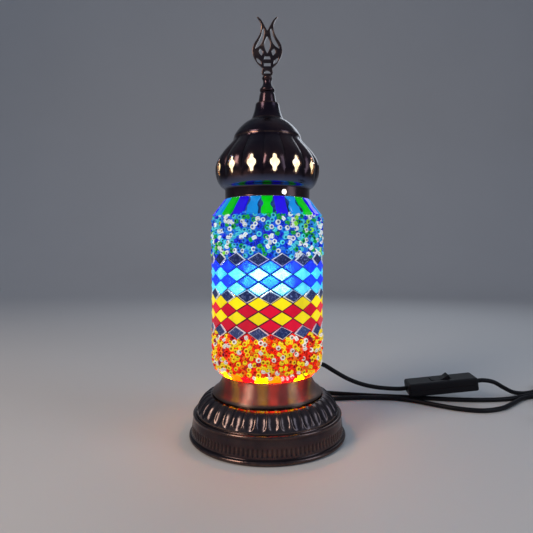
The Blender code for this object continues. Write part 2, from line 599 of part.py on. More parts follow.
def plug(look, root):
    """A flat two-pin mains plug lying with its pins to the left."""
    frame = group("plug_frame", PLUG_REAR, None, root)
    half = [(0, 3.4), (-9.0, 4.6), (-14.0, 9.6), (-18.0, 12.4), (-PLUG_LENGTH + 1.0, 13.0), (-PLUG_LENGTH, 12.2)]
    outline = half + [(x, -y) for x, y in reversed(half)]
    bm = prism(outline, 14.0)
    bmesh.ops.rotate(bm, cent=(0, 0, 0), matrix=Matrix.Rotation(math.radians(90), 3, "X"), verts=bm.verts)
    bmesh.ops.dissolve_limit(bm, angle_limit=0.01, verts=bm.verts, edges=bm.edges)
    rims = [e for e in bm.edges if abs(e.verts[0].co.z - e.verts[1].co.z) < 1e-4 and abs(e.verts[0].co.z) > 6.9]
    bmesh.ops.bevel(bm, geom=rims, offset=1.6, segments=2, profile=0.5, affect="EDGES")
    finish_object("plug_body", bm, look["black"], frame)
    for k, y in enumerate((-9.3, 9.3)):
        pin = spun([(0, 0), (2.0, 0), (2.0, 18.0), (1.2, 19.0), (0, 19.0)], 12)
        along(pin, Vector((-PLUG_LENGTH - GAP, y, 0)), (-1, 0, 0))
        finish_object(f"plug_pin_{k + 1}", pin, look["brass"], frame)


def main():
    clear_scene()
    look = {
        "bronze": material("antique_bronze", (0.17, 0.12, 0.10), 0.34, metallic=1.0),
        "steel": material("plated_steel", (0.55, 0.55, 0.55), 0.35, metallic=1.0),
        "brass": material("brass", (0.72, 0.55, 0.26), 0.3, metallic=1.0),
        "felt": material("felt", (0.03, 0.05, 0.04), 0.95),
        "holder": material("holder_plastic", (0.04, 0.04, 0.04), 0.45),
        "ceramic": material("ceramic", (0.85, 0.83, 0.78), 0.4),
        "bulb": material("bulb_glass", (1.0, 0.98, 0.92), 0.4, transmission=0.6),
        "glass": material("clear_glass", (0.9, 0.95, 0.95), 0.05, transmission=1.0),
        "black": material("black_plastic", (0.015, 0.015, 0.017), 0.45),
        "tie": material("tie", (0.05, 0.05, 0.055), 0.8),
        "mosaic_top_strips": material("mosaic_top", (0.05, 0.45, 0.75), 0.2),
        "mosaic_upper_beads": material("mosaic_beads_cool", (0.35, 0.75, 0.70), 0.25),
        "mosaic_blue_diamonds": material("mosaic_blue", (0.03, 0.15, 0.85), 0.2),
        "mosaic_red_diamonds": material("mosaic_red", (0.85, 0.10, 0.05), 0.2),
        "mosaic_lower_beads": material("mosaic_beads_warm", (0.95, 0.40, 0.08), 0.25),
        "mosaic_bottom_strips": material("mosaic_bottom", (0.95, 0.60, 0.05), 0.2),
    }
    root = group("lamp_root")
    base(look, root)
    cup(look, root)
    lampholder(look, root)
    bulb(look, group("bulb_pivot", parent=root))
    jar_body = group("jar_slide", parent=root)
    jar(look, jar_body)
    cap_body = group("cap_slide", parent=jar_body)
    cap(look, cap_body)
    finial(look, group("finial_pivot", parent=cap_body))
    strain_relief(look, root)
    switch(look, root)
    tube("cord_lead", lead_route(), CORD_DIAMETER, look["black"], root)
    tube("cord_run", run_route(), CORD_DIAMETER, look["black"], root, spacing=2.9 * CORD_DIAMETER)
    coil(look, root)
    tube("cord_tail", tail_route(), CORD_DIAMETER, look["black"], root, spacing=0.8 * CORD_DIAMETER)
    plug(look, root)


main()
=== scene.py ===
"""Looks of the mosaic glass table lamp: tiles, beads, bronze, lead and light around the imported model.

Lengths in the tables below are millimetres; MM turns them into metres.
"""
import random
from math import cos, pi, radians, sin, sqrt
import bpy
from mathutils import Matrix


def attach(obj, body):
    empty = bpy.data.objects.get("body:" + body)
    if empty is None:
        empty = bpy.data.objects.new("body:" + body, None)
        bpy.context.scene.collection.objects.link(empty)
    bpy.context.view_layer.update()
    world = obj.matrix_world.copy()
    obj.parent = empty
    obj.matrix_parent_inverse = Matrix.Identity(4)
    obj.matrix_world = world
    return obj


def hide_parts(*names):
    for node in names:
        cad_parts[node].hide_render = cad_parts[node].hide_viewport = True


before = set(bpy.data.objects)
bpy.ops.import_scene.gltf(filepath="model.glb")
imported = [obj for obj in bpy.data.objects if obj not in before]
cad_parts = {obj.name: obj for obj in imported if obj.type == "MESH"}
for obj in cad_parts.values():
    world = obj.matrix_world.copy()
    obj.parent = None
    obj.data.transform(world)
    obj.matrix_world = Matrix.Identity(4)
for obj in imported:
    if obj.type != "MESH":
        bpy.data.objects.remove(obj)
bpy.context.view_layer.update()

import bmesh
import bpy
from mathutils import Matrix, Vector

MM = 0.001
BULB = Vector((0.0, 0.0, 0.140))  # metres
GLOW_HEIGHT = 0.147  # metres; the bulb is brightest at this height
JAR_SKIN = 47.0  # back of the mosaic
MOSAIC = 50.0  # face of the mosaic
MIRROR_ROWS = (0, 5, 10)
COLUMNS = 16  # diamonds round the jar
ROW_STEP = 6.05
TOP_ROW = 161.0  # middle of the first row of diamonds
FRONT_COLUMN = radians(-8.4)  # the first row's diamond nearest the front
HALF_WIDTH = pi * 49.2 / COLUMNS  # of a diamond with its share of grout
STRIPS = 24  # round the jar, above and below
TOP_STRIP_TURN = radians(-0.4)
LOW_STRIP_TURN = radians(-6.5)
BEAD_SPACING = 3.4
BEAD_TRIES = 60000
BEAD_SIDES = 10
PETALS = 40
REEDS = 112
COLLAR_HOLES = 3
COLLAR_HOLE_AZIMUTH = -68  # degrees from +X
COLLAR_HOLE_HEIGHT = 217.4
LOBES = 15  # each with one window
DOME_TURN = radians(7.5)
DOME_LIP = 0.2285  # metres; polished, with a painted blue reflection, below it
WINDOW_HEIGHT = 240.2
CAMERA_PLACE = (-0.0007, -0.4318, 0.170)  # metres
CAMERA_DIP = 2.17  # degrees below level
LENS = 31.96
CORD = 4.8  # diameter


# ---- node materials

class Look:
    """A Principled material and short ways of feeding its sockets."""

    def __init__(self, name, colour=(0.5, 0.5, 0.5), roughness=0.5, **plain):
        self.material = bpy.data.materials.new(name)
        self.material.use_nodes = True
        self.tree = self.material.node_tree
        self.shader = self.tree.nodes["Principled BSDF"]
        self.put("Base Color", (*colour, 1.0))
        self.put("Roughness", roughness)
        for socket, value in plain.items():
            self.put(socket.replace("_", " "), value)

    def put(self, socket, value):
        self.link(value, self.shader.inputs[socket])

    def node(self, kind, **settings):
        made = self.tree.nodes.new(kind)
        for key, value in settings.items():
            setattr(made, key, value)
        return made

    def link(self, source, target):
        if isinstance(source, bpy.types.NodeSocket):
            self.tree.links.new(source, target)
        else:
            target.default_value = source

    def place(self):
        return self.node("ShaderNodeTexCoord").outputs["Object"]

    def height(self):
        split = self.node("ShaderNodeSeparateXYZ")
        self.link(self.place(), split.inputs[0])
        return split.outputs["Z"]

    def noise(self, scale, detail=3.0, stretch=None):
        made = self.node("ShaderNodeTexNoise")
        made.inputs["Scale"].default_value = scale
        made.inputs["Detail"].default_value = detail
        vector = self.place()
        if stretch is not None:
            mapping = self.node("ShaderNodeMapping")
            mapping.inputs["Scale"].default_value = stretch
            self.link(vector, mapping.inputs["Vector"])
            vector = mapping.outputs["Vector"]
        self.link(vector, made.inputs["Vector"])
        return made.outputs["Fac"]

    def span(self, value, low, high, to_low=0.0, to_high=1.0):
        made = self.node("ShaderNodeMapRange")
        self.link(value, made.inputs["Value"])
        ends = {"From Min": low, "From Max": high, "To Min": to_low, "To Max": to_high}
        for socket, number in ends.items():
            made.inputs[socket].default_value = number
        return made.outputs["Result"]

    def math(self, operation, a, b):
        made = self.node("ShaderNodeMath", operation=operation)
        self.link(a, made.inputs[0])
        self.link(b, made.inputs[1])
        return made.outputs[0]

    def mix(self, factor, a, b, blend="MIX"):
        made = self.node("ShaderNodeMix", data_type="RGBA", blend_type=blend)
        colours = [socket for socket in made.inputs if socket.type == "RGBA"]
        self.link(factor, made.inputs["Factor"])
        self.link(a if isinstance(a, bpy.types.NodeSocket) else (*a, 1.0), colours[0])
        self.link(b if isinstance(b, bpy.types.NodeSocket) else (*b, 1.0), colours[1])
        return next(socket for socket in made.outputs if socket.type == "RGBA")

    def bump(self, height, strength, distance):
        made = self.node("ShaderNodeBump")
        made.inputs["Strength"].default_value = strength
        made.inputs["Distance"].default_value = distance
        self.link(height, made.inputs["Height"])
        self.put("Normal", made.outputs["Normal"])

    def near_bulb(self, near, far):
        """1 on glass nearest the bulb, falling to far on glass 55 mm further off."""
        made = self.node("ShaderNodeVectorMath", operation="DISTANCE")
        self.link(self.place(), made.inputs[0])
        made.inputs[1].default_value = BULB
        return self.span(made.outputs["Value"], 0.048, 0.103, near, far)

    def kept(self, name):
        """A number kept on each point: tint is a tile's own random level, shade is painted shade that darkens
        a bead's hole.
        """
        return self.node("ShaderNodeAttribute", attribute_name=name).outputs["Fac"]


def times(share, colour):
    return tuple(share * c for c in colour)


def bronze(name, dark, light, roughness, lip=None, spun=0.0):
    """Patinated cast metal: dark in its hollows, rubbed to copper on its edges, where a painted copper
    highlight also lies.

    lip is a height in metres: below it the metal is polished and carries a painted blue reflection, down to
    the collar's plain wall.
    spun is how far the fine rings of a lathe draw reflections out along the height.
    """
    look = Look(name, roughness=roughness, Metallic=1.0)
    edge = look.node("ShaderNodeNewGeometry").outputs["Pointiness"]
    # Edges: copper from real rubbing, strengthened into a painted copper highlight.
    wear_and_highlight = look.math("MULTIPLY", look.span(edge, 0.515, 0.58, 0.0, 0.7),
                     look.span(look.noise(240.0), 0.4, 0.6, 0.3, 1.0))
    patches = look.span(look.noise(45.0, 5.0), 0.35, 0.7, 0.0, 1.0)
    colour = look.mix(wear_and_highlight, look.mix(patches, dark, light), (0.46, 0.26, 0.17))
    hollow = look.span(edge, 0.44, 0.495, 0.25, 1.0)
    colour = look.mix(1.0, colour, hollow, "MULTIPLY")
    rough = look.span(look.noise(170.0, 4.0), 0.3, 0.7, roughness - 0.05, roughness + 0.07)
    if lip:
        height = look.height()
        above = look.span(height, lip - 0.0065, lip - 0.0045)
        below = look.span(height, lip - 0.003, lip + 0.003, 1.0, 0.0)
        # Below the lip: a painted blue reflection on a smoother, polished band.
        polish_and_painted_reflection = look.math("MULTIPLY", above, below)
        colour = look.mix(polish_and_painted_reflection, colour, (0.10, 0.135, 0.24))
        rough = look.math("SUBTRACT", rough, look.math("MULTIPLY", polish_and_painted_reflection, roughness - 0.12))
    look.put("Base Color", colour)
    look.put("Roughness", rough)
    if spun:
        look.put("Anisotropic", spun)
        look.put("Anisotropic Rotation", 0.25)
        tangent = look.node("ShaderNodeTangent", direction_type="RADIAL", axis="Z")
        look.put("Tangent", tangent.outputs["Tangent"])
    else:
        look.bump(look.noise(900.0, 2.0), 0.10, 0.0004)
    return look.material


def metal(name, colour, roughness):
    look = Look(name, colour, roughness, Metallic=1.0)
    brushed = look.noise(260.0, 3.0, stretch=(1.0, 1.0, 6.0))
    streaks = look.span(brushed, 0.3, 0.7)
    look.put("Base Color", look.mix(streaks, times(0.8, colour), colour))
    look.put("Roughness", look.span(brushed, 0.3, 0.7, roughness, roughness + 0.18))
    look.bump(brushed, 0.1, 0.0002)
    return look.material


def lit_glass(name, colour, core, glow=1.0, clear=0.0):
    """Coloured glass that the bulb lights from behind. core is its colour where the bulb is nearest.

    clear is how much of the bulb shows through it, blurred by the ripple of the glass.
    """
    look = Look(name, colour, 0.10, IOR=1.45)
    ripple = look.noise(150.0, 5.0, stretch=(1.0, 1.0, 0.35))
    grain = look.noise(700.0, 3.0)
    shade = look.kept("shade")
    own = look.span(look.kept("tint"), 0.0, 1.0, 0.74, 1.08)
    level = look.math("MULTIPLY", look.near_bulb(glow, 0.55 * glow), look.math("MULTIPLY", own, shade))
    streak = look.span(ripple, 0.35, 0.7, 0.88, 1.06)
    look.put("Emission Color", look.mix(look.near_bulb(0.10, 0.0), colour, core))
    look.put("Emission Strength", look.math("MULTIPLY", level, streak))
    if clear:
        look.put("Transmission Weight", clear)
        through = look.mix(look.span(ripple, 0.35, 0.65), core, times(0.35, core))
        look.put("Base Color", through)
        look.put("Roughness", look.span(ripple, 0.3, 0.7, 0.22, 0.42))
    else:
        look.put("Base Color", look.mix(grain, times(0.20, colour), times(0.34, colour)))
        look.put("Roughness", look.span(grain, 0.3, 0.7, 0.10, 0.26))
    look.bump(ripple, 0.3, 0.0006)
    return look.material


def grout(name, dark, lit):
    look = Look(name, dark, 0.75)
    texture = look.noise(1400.0, 4.0)
    look.put("Base Color", look.mix(texture, dark, times(1.8, dark)))
    # The emission is a painted glow of the bulb's light in the grout, dimmer away from the bulb and in
    # patches.
    look.put("Emission Color", (*lit, 1.0))
    patchy_glow = look.span(look.noise(330.0, 2.0), 0.40, 0.58, 0.22, 1.15)
    look.put("Emission Strength", look.math("MULTIPLY", look.near_bulb(1.0, 0.6), patchy_glow))
    look.bump(texture, 0.6, 0.0006)
    return look.material


def mirror_glass():
    look = Look("mirror_face", (0.16, 0.20, 0.34), 0.05, Metallic=1.0)
    spots = look.noise(700.0, 5.0)
    wear_and_highlight = look.span(spots, 0.52, 0.72)
    look.put("Base Color", look.mix(wear_and_highlight, (0.07, 0.09, 0.22), (0.40, 0.46, 0.66)))
    # The faint blue emission is a painted glow on the silvered face.
    look.put("Emission Color", (0.02, 0.03, 0.12, 1.0))
    look.put("Emission Strength", look.span(spots, 0.3, 0.7, 0.2, 0.9))
    look.put("Roughness", look.span(spots, 0.45, 0.75, 0.04, 0.3))
    look.bump(look.noise(90.0, 2.0), 0.15, 0.0008)
    return look.material


def mirror_edge():
    look = Look("mirror_ground_edge", (0.85, 0.87, 0.9), 0.3, Metallic=0.4)
    grain = look.noise(1500.0, 2.0)
    look.put("Base Color", look.mix(grain, (0.6, 0.63, 0.68), (0.98, 0.98, 1.0)))
    # The emission is a painted glow on the ground edge.
    look.put("Emission Color", (0.8, 0.85, 0.95, 1.0))
    look.put("Emission Strength", look.span(grain, 0.3, 0.7, 0.12, 0.4))
    look.bump(grain, 0.3, 0.0003)
    return look.material


def black_plastic(name, roughness, grain, depth):
    look = Look(name, (0.006, 0.006, 0.008), roughness, Specular_IOR_Level=0.14)
    texture = look.noise(grain, 3.0)
    look.put("Base Color", look.mix(texture, (0.004, 0.004, 0.006), (0.010, 0.010, 0.013)))
    look.put("Roughness", look.span(texture, 0.3, 0.7, roughness - 0.07, roughness + 0.1))
    look.bump(texture, 0.35, depth)
    return look.material


def clear_glass():
    """Thin clear glass: what is behind shows straight through it."""
    look = Look("clear_jar_glass", (0.95, 0.98, 1.0), 0.03, Alpha=0.12)
    look.put("Roughness", look.span(look.noise(60.0, 2.0), 0.3, 0.7, 0.02, 0.08))
    return look.material


def bulb_light():
    look = Look("bulb_envelope", (1.0, 1.0, 1.0), 0.3)
    look.put("Emission Color", look.mix(look.noise(40.0, 1.0), (0.86, 0.95, 1.0), (1.0, 1.0, 1.0)))
    off = look.math("ABSOLUTE", look.math("SUBTRACT", look.height(), GLOW_HEIGHT), 0.0)
    look.put("Emission Strength", look.span(off, 0.009, 0.020, 32.0, 0.6))
    return look.material


def hot_inside():
    """The dome's inner face, lit by the bulb below it."""
    look = Look("dome_lit_inside", (0.30, 0.22, 0.14), 0.5, Metallic=0.3)
    patches = look.noise(45.0, 3.0)
    look.put("Base Color", look.mix(patches, (0.26, 0.19, 0.12), (0.36, 0.27, 0.17)))
    heat = look.span(patches, 0.35, 0.65)
    look.put("Emission Color", look.mix(heat, (1.0, 0.72, 0.30), (1.0, 0.93, 0.66)))
    look.put("Emission Strength", look.span(patches, 0.35, 0.65, 0.65, 1.2))
    return look.material


def matte(name, colour, roughness, grain, depth):
    look = Look(name, colour, roughness)
    texture = look.noise(grain, 5.0)
    look.put("Base Color", look.mix(texture, colour, times(1.5, colour)))
    look.bump(texture, 0.5, depth)
    return look.material


# ---- mesh building

def placed(name, data):
    made = bpy.data.objects.new(name, data)
    bpy.context.collection.objects.link(made)
    return made


def finished(name, bm):
    mesh = bpy.data.meshes.new(name)
    bm.to_mesh(mesh)
    bm.free()
    return mesh


def piece(name, bm, looks, body, smooth=35.0):
    """A mesh in millimetres as an object in metres, riding on a body."""
    bmesh.ops.recalc_face_normals(bm, faces=bm.faces)
    bmesh.ops.scale(bm, vec=(MM, MM, MM), verts=bm.verts)
    mesh = finished(name, bm)
    mesh.shade_smooth()
    mesh.set_sharp_from_angle(angle=radians(smooth))
    for look in looks:
        mesh.materials.append(look)
    made = placed(name, mesh)
    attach(made, body)
    return made


def curve_point(a, b, c, d, t):
    """A place t of the way from b to c on a Catmull-Rom curve."""
    return 0.5 * (2 * b + (c - a) * t + (2 * a - 5 * b + 4 * c - d) * t * t
                  + (3 * b - a - 3 * c + d) * t ** 3)


def skin(bm, low, high):
    """A closed band of faces between two rings with as many points."""
    count = len(low)
    for k in range(count):
        bm.faces.new([low[k], low[(k + 1) % count], high[(k + 1) % count], high[k]])


def flowing(points, steps=4):
    """Points on a Catmull-Rom curve through a profile's own points."""
    ends = [points[0], *points, points[-1]]
    made = []
    for a, b, c, d in zip(ends, ends[1:], ends[2:], ends[3:]):
        for k in range(steps):
            made.append(tuple(curve_point(*along, k / steps) for along in zip(a, b, c, d)))
    made.append(points[-1])
    return made


def arc(centre, radius, start, end, steps):
    angles = [radians(start + (end - start) * k / steps) for k in range(steps + 1)]
    return [(centre[0] + radius * cos(a), centre[1] + radius * sin(a)) for a in angles]


def lathe(section, sides, shape=None, second=()):
    """Turns a closed section of (radius, height) about Z.

    shape moves a point, given its angle, radius and height. The edges in second take the second material.
    """
    bm = bmesh.new()
    rings = []
    for radius, height in section:
        ring = []
        for k in range(sides):
            angle = 2 * pi * k / sides
            r, z = (radius, height) if shape is None else shape(angle, radius, height)
            ring.append(bm.verts.new((r * cos(angle), r * sin(angle), z)))
            if radius == 0:
                ring = ring * sides
                break
        rings.append(ring)
    for n, (low, high) in enumerate(zip(rings, rings[1:] + rings[:1])):
        for k in range(sides):
            corners = [low[k], low[(k + 1) % sides], high[(k + 1) % sides], high[k]]
            unique = list(dict.fromkeys(corners))
            if len(unique) < 3:
                continue
            face = bm.faces.new(unique)
            if n in second:
                face.material_index = 1
    return bm


def around(angle):
    """Outward, sideways and up at an angle from the front, positive to the right."""
    out = Vector((sin(angle), -cos(angle), 0))
    side = Vector((cos(angle), sin(angle), 0))
    return out, side, Vector((0, 0, 1))


def mark(bm, verts, tint, shade=1.0):
    tints, shades = bm.verts.layers.float["tint"], bm.verts.layers.float["shade"]
    for vert in verts:
        vert[tints] = tint
        vert[shades] = shade


def plate(bm, tint, corners_back, corners_face, edge_slot):
    """A flat tile: a back outline, a bevel and an inset face."""
    back = [bm.verts.new(c) for c in corners_back]
    face = [bm.verts.new(c) for c in corners_face]
    mark(bm, back + face, tint)
    count = len(back)
    bm.faces.new(face)
    bm.faces.new(list(reversed(back)))
    for k in range(count):
        side = bm.faces.new([back[k], back[(k + 1) % count], face[(k + 1) % count], face[k]])
        side.material_index = edge_slot


def tiles_mesh():
    bm = bmesh.new()
    bm.verts.layers.float.new("tint")
    bm.verts.layers.float.new("shade")
    return bm


# ---- mosaic

def lattice(row):
    """Angles of a row's diamonds."""
    shift = FRONT_COLUMN + (pi / COLUMNS if row % 2 else 0.0)
    return [shift + 2 * pi * k / COLUMNS for k in range(COLUMNS)]


def diamond(bm, rng, angle, height, size, face_size, spin, tip, depth=1.9, edge_slot=0, proud=0.0):
    """One tile: size and face_size are shares of its place in the lattice, spin and tip its crookedness."""
    out, side, up = around(angle)
    turn = Matrix.Rotation(spin, 3, out) @ Matrix.Rotation(tip, 3, side)
    centre = (48.1 + proud) * out + Vector((0, 0, height))
    reach = [(1, 0), (0, 1), (-1, 0), (0, -1)]

    def corners(scale, lift):
        return [centre + turn @ (side * (x * HALF_WIDTH * scale) + up * (z * ROW_STEP * scale) + out * lift)
                for x, z in reach]

    plate(bm, rng.random(), corners(size, 0.6 if edge_slot else 0.0), corners(face_size, depth), edge_slot)


def diamonds(look):
    rng = random.Random(7)
    rows = {"blue": (1, 3), "cyan": (2, 4), "yellow": (6, 8), "red": (7, 9)}
    stands_for = {"blue": "mosaic_blue_diamonds", "red": "mosaic_red_diamonds"}
    for name, numbers in rows.items():
        bm = tiles_mesh()
        for row in numbers:
            for angle in lattice(row):
                diamond(bm, rng, angle, TOP_ROW - ROW_STEP * row, 0.90, 0.865,
                        spin=rng.uniform(-0.02, 0.02), tip=rng.uniform(-0.03, 0.03))
        made = piece("tiles_" + name, bm, [look[name]], "jar", smooth=20.0)
        if name in stands_for:
            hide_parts(stands_for[name])
    bm = tiles_mesh()
    for row in MIRROR_ROWS:
        for angle in lattice(row):
            diamond(bm, rng, angle, TOP_ROW - ROW_STEP * row + rng.uniform(-0.5, 0.5), 0.94, 0.81,
                    spin=rng.uniform(-0.10, 0.10), tip=rng.uniform(-0.10, 0.06), depth=1.7, edge_slot=1,
                    proud=0.4)
    made = piece("tiles_mirror", bm, [look["mirror"], look["mirror_edge"]], "jar", smooth=20.0)


def grout_lattice(look):
    """The grout between the diamonds: a frame round each tile, open behind the glass."""
    outline = ((1, 0), (0.5, 0.5), (0, 1), (-0.5, 0.5), (-1, 0), (-0.5, -0.5), (0, -1), (0.5, -0.5))
    for name, numbers, slot in (("cool", (0, 1, 2, 3, 4, 5), "mosaic_blue_glass"),
                                ("warm", (6, 7, 8, 9, 10), "mosaic_red_glass")):
        bm = bmesh.new()
        for row in numbers:
            for angle in lattice(row):
                height = TOP_ROW - ROW_STEP * row
                rings = []
                for scale, radius in ((1.0, 49.1), (0.88, 49.0), (0.85, JAR_SKIN), (1.0, JAR_SKIN)):
                    ring = []
                    for x, z in outline:
                        out, _, up = around(angle + x * scale * pi / COLUMNS)
                        ring.append(bm.verts.new(out * radius + up * (height + z * scale * ROW_STEP)))
                    rings.append(ring)
                for inner, outer in zip(rings, rings[1:] + rings[:1]):
                    skin(bm, inner, outer)
        made = piece(f"grout_lattice_{name}", bm, [look["grout_" + name]], "jar")


def strips(look):
    """The wedge strips under the collar, and the short ones above the cup."""
    rng = random.Random(11)
    top = (("green", "royal", "sky"), TOP_STRIP_TURN, (49.0, 199.0), (38.0, 213.6), 9.1)
    low = (("amber", "orange", "crimson"), LOW_STRIP_TURN, (42.9, 58.5), (47.4, 63.6), 10.7)
    for names, turn, foot, head, width in (top, low):
        above = "green" in names
        for first, name in enumerate(names):
            bm = tiles_mesh()
            for k in range(first, STRIPS, len(names)):
                nibbled = above and rng.random() < 0.5
                strip(bm, rng, turn + 2 * pi * k / STRIPS, foot, head, width, nibbled)
            made = piece("strips_" + name, bm, [look[name]], "jar", smooth=20.0)
            if first == 0:
                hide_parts("mosaic_top_strips" if above else "mosaic_bottom_strips")


def strip(bm, rng, angle, foot, head, width, nibbled):
    """One strip of glass lying up a cone from foot to head, both (radius, height)."""
    steps = 14
    slope = Vector((head[0] - foot[0], head[1] - foot[1])).normalized()
    normal = Vector((slope.y, -slope.x))
    waves = {way: (rng.uniform(0, 6.28), rng.uniform(0.0, 0.07)) for way in (-1, 1)}
    bite = {way: (rng.uniform(0.3, 0.75), rng.uniform(0.25, 0.5) if nibbled else 0.0) for way in (-1, 1)}
    tint = rng.random()
    rings = []
    for lift, inset in ((-1.6, 0.0), (0.35, 0.0), (0.75, 0.35)):
        sides = {-1: [], 1: []}
        for k in range(steps + 1):
            t = k / steps
            radius = foot[0] + (head[0] - foot[0]) * t + normal.x * lift
            height = foot[1] + (head[1] - foot[1]) * t + normal.y * lift
            if k in (0, steps):
                height += inset * (1 if k == 0 else -1) * slope.y
            for way in (-1, 1):
                phase, swing = waves[way]
                at, deep = bite[way]
                cut = swing * sin(phase + 7 * t) + deep * max(0.0, 1 - ((t - at) / 0.24) ** 2)
                half = (width / 2 * (1 - cut) - inset) / radius
                out, _, up = around(angle + way * half)
                sides[way].append(out * radius + up * height)
        outline = sides[1] + list(reversed(sides[-1]))
        rings.append([bm.verts.new(c) for c in outline])
        mark(bm, rings[-1], tint)
    count = len(rings[0])
    for low, high in zip(rings, rings[1:]):
        skin(bm, low, high)
    for ring in (rings[0], rings[-1]):
        for k in range(steps):
            bm.faces.new([ring[k], ring[k + 1], ring[count - 2 - k], ring[count - 1 - k]])


def bead_points(rng, low, high, edge):
    """Evenly scattered (angle, height) places, none nearer than the beads' spacing."""
    found, cells = [], {}
    around_length = 2 * pi * MOSAIC
    for _ in range(BEAD_TRIES):
        s = rng.uniform(0, around_length)
        z = rng.uniform(low, high)
        angle = s / MOSAIC
        if not edge(angle, z):
            continue
        cell = (int(s // BEAD_SPACING), int(z // BEAD_SPACING))
        near = [p for dx in (-1, 0, 1) for dz in (-1, 0, 1)
                for p in cells.get((cell[0] + dx, cell[1] + dz), ())]
        if any((s - a) ** 2 + (z - b) ** 2 < BEAD_SPACING ** 2 for a, b in near):
            continue
        margin = BEAD_SPACING / 2  # where the band closes on itself
        if s > around_length - margin and any(a < margin and abs(z - b) < BEAD_SPACING for a, b in found):
            continue
        cells.setdefault(cell, []).append((s, z))
        found.append((s, z))
    return [(s / MOSAIC, z) for s, z in found]


BEAD = [(0.80, -0.95, 0.10), (1.15, -1.42, 0.55), (1.65, -1.50, 1.0), (2.15, -0.95, 1.0), (2.28, 0.0, 0.62),
        (2.15, 0.95, 1.0), (1.65, 1.50, 1.0), (1.15, 1.42, 0.55), (0.80, 0.95, 0.10)]
# A seed bead's profile: radius, height and painted shade, darkest in its hole, with a painted highlight at
# its rims.
"""A seed bead's profile: radius, height and shade, darkest in its hole and brightest at its rims."""


def bead_mesh(bm, place, axis, tint, size):
    turn = Vector((0, 0, 1)).rotation_difference(axis).to_matrix()
    rings = []
    for radius, height, shade in BEAD:
        ring = []
        for k in range(BEAD_SIDES):
            angle = 2 * pi * k / BEAD_SIDES
            spot = Vector((radius * cos(angle), radius * sin(angle), height)) * size
            ring.append(bm.verts.new(place + turn @ spot))
        mark(bm, ring, tint, shade)
        rings.append(ring)
    for low, high in zip(rings, rings[1:] + rings[:1]):
        skin(bm, low, high)


def row_edge(row, below):
    """How far a row of diamonds reaches up or down at an angle."""
    first = lattice(row)[0]
    middle = TOP_ROW - ROW_STEP * row

    def height(angle):
        across = ((angle - first + pi / COLUMNS) % (2 * pi / COLUMNS)) / (pi / COLUMNS) - 1
        reach = ROW_STEP * (1 - abs(across))
        return middle - reach if below else middle + reach

    return height


def wall_at(height):
    """Radius and outward slope of the jar's mosaic bed."""
    shoulder, foot, wall = 196, 75, 48.2
    if height > shoulder:
        return 48.0 - (height - shoulder) * 0.70, 0.55
    if height < foot:
        drop = (foot - height) / 16.0
        return wall - 5.2 * drop ** 2.4, -0.9 * drop ** 1.4
    return wall, 0.0


def beads(look):
    clear_of = 1.4  # from a bead's middle to the diamonds
    first, last = MIRROR_ROWS[0], MIRROR_ROWS[-1]
    cool = {"white": 29, "ice": 25, "azure": 14, "cobalt": 11, "leaf": 17, "lime": 5}
    warm = {"lemon": 46, "scarlet": 22, "tangerine": 13, "pearl": 14, "ruby": 6}
    bands = (
        (163.0, 199.4, 3, cool, lambda a, z: z > row_edge(first, False)(a) + clear_of,
         "mosaic_upper_beads", "mosaic_cool_beads"),
        (61.8, 99.0, 5, warm, lambda a, z: z < row_edge(last, True)(a) - clear_of,
         "mosaic_lower_beads", "mosaic_warm_beads"))
    for low, high, seed, shares, edge, node, slot in bands:
        rng = random.Random(seed)
        places = bead_points(rng, low, high, edge)
        meshes = {name: tiles_mesh() for name in shares}
        for angle, height in places:
            name = rng.choices(list(shares), shares.values())[0]
            radius, slope = wall_at(height)
            out, side, up = around(angle)
            normal = (out + up * slope).normalized()
            roll = rng.uniform(0, 2 * pi)
            across = side * cos(roll) + up * sin(roll)
            facing = rng.random() < 0.5
            lean = rng.uniform(0, 0.4) if facing else rng.uniform(1.1, 1.57)
            axis = normal * cos(lean) + across * sin(lean)
            lift = 0.35 if facing else 0.75
            place = out * (radius + lift + rng.uniform(-0.25, 0.35)) + up * height
            bead_mesh(meshes[name], place, axis, rng.random(), rng.uniform(0.84, 1.0))
        for n, (name, bm) in enumerate(meshes.items()):
            made = piece(f"beads_{name}", bm, [look[name]], "jar", smooth=60.0)
            if n == 0:
                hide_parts(node)


def grout_beds(look):
    """What the beads and strips are pressed into."""
    cool = [(46.95, 159.6), (47.5, 159.6), (47.6, 166.0), (48.1, 167.2), (48.3, 175), (48.3, 185),
            (48.3, 192), (48.2, 195.6), (46.9, 198.6), (45.7, 198.2), (46.9, 195.9)]
    cone = [(45.8, 198.4), (46.9, 199.0), (37.6, 213.3), (36.6, 213.5), (36.2, 211.8)]
    rng = random.Random(2)
    waves = [(rng.randint(5, 60), rng.uniform(0, 6.28), rng.uniform(0.05, 0.16)) for _ in range(12)]

    def lumpy(angle, radius, height):
        inner = radius < 47.8 and height < 196 or radius < 36.8
        swell = sum(a * sin(n * angle + p + height * 0.4 * n / 20) for n, p, a in waves)
        return (radius if inner else radius + 0.5 * swell), height

    made = piece("grout_bed_cool", lathe(cool, 180, lumpy), [look["bed_cool"]], "jar")
    made = piece("grout_bed_shoulder", lathe(cone, 180, lumpy), [look["grout_cool"]], "jar")
    warm = [(44.1, 62.5), (42.2, 59.4), (41.7, 58.7), (42.6, 58.6), (44.2, 60.4), (46.0, 62.4), (47.4, 65.8),
            (48.1, 70.0), (48.3, 76), (48.3, 86), (48.1, 93.8), (47.6, 95.2), (47.5, 101.6), (46.95, 101.6),
            (46.9, 76), (46.7, 71), (46.0, 66.5)]
    made = piece("grout_bed_warm", lathe(warm, 180, lumpy), [look["bed_warm"]], "jar")


# ---- bronze

def fine(node, bm, looks, body, smooth=40.0):
    """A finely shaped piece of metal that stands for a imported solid."""
    made = piece(node + "_fine", bm, looks, body, smooth)
    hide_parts(node)
    return made


def mirrored(points):
    return [(-x, z) for x, z in reversed(points)]


